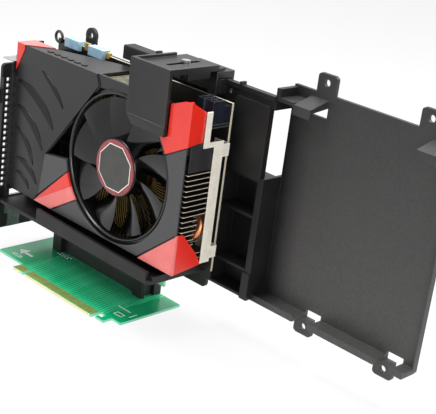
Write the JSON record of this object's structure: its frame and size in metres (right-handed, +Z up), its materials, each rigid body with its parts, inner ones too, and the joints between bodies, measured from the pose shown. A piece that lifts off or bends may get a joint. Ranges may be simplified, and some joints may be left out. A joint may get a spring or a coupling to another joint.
{
  "type": "graphics card carrier of a slim mini-itx pc case",
  "caption": "Upright moulded carrier of a slim mini-ITX PC case, with a short fan-cooled graphics card on a riser board, a sliding card holder and a flat drive tray.",
  "frame": {"origin": "middle of the bounding box in plan, at the underside of the riser board", "axes": "+X along the graphics card towards the drive tray, +Y from the fan side to the tray's back plate, +Z up"},
  "size_m": [0.3254, 0.0778, 0.1792],
  "materials": {
    "carrier_plastic": "fine matte grain",
    "board_green": "green solder mask",
    "board_black": "black solder mask",
    "contact_gold": "gold plated",
    "slot_plastic": "glass filled plastic",
    "chip": "moulded epoxy",
    "choke": "pressed iron powder",
    "can": "drawn can",
    "copper": "bare copper",
    "fins": "bare fins",
    "plate_silver": "pressed plate",
    "steel": "zinc plated",
    "cap_blue": "soft moulded cap",
    "cover_black": "satin moulding",
    "cover_grey": "grey moulding",
    "accent_red": "red painted moulding",
    "fan_black": "glossy moulding",
    "connector": "moulded connector"
  },
  "bodies": {
    "base": {"carrier": "carrier_plastic", "riser_board": "board_green", "riser_fingers": "contact_gold", "riser_slot": "slot_plastic", "link_board": "board_green", "card_slot": "slot_plastic", "card_board": "board_black", "card_fingers": "contact_gold", "processor": "chip", "memory_chips": "chip", "coil_chokes": "choke", "capacitors": "can", "heatsink_core": "copper", "radial_fins": "fins", "side_fins": "fins", "heat_pipes": "copper", "cooler_screws": "steel", "stiffener_plate": "plate_silver", "power_connector": "connector", "power_pins": "steel", "link_caps": "cap_blue", "cover_shell": "cover_black", "accent_top_left": "accent_red", "accent_bottom_left": "accent_red", "accent_top_right": "accent_red", "accent_bottom_right": "accent_red", "panel_left": "cover_grey", "panel_right": "cover_grey", "cover_screws": "steel", "fan_frame": "fan_black", "fan_stator": "copper", "slot_bracket": "steel", "display_sockets": "connector", "bracket_screws": "steel"},
    "fan": {"fan_rotor": "fan_black", "fan_shaft": "steel", "hub_badge": "cover_black"},
    "latch": {"slot_latch": "slot_plastic"},
    "saddle": {"holder_saddle": "carrier_plastic", "holder_screw": "steel"},
    "hook": {"holder_hook": "carrier_plastic"}
  },
  "joints": [
    {"name": "fan_spin", "type": "hinge", "parent": "base", "child": "fan", "pos_m": [-0.03905, -0.01895, 0.09628], "axis": [0, 1, 0], "continuous": true},
    {"name": "latch_pivot", "type": "hinge", "parent": "base", "child": "latch", "pos_m": [-0.01575, 0.01185, 0.0256], "axis": [0, 1, 0], "range_deg": [0, 25]},
    {"name": "saddle_slide", "type": "slide", "parent": "base", "child": "saddle", "axis": [1, 0, 0], "range_m": [-0.03, 0.012]},
    {"name": "hook_slide", "type": "slide", "parent": "saddle", "child": "hook", "axis": [0, 1, 0], "range_m": [-0.01, 0]}
  ]
}
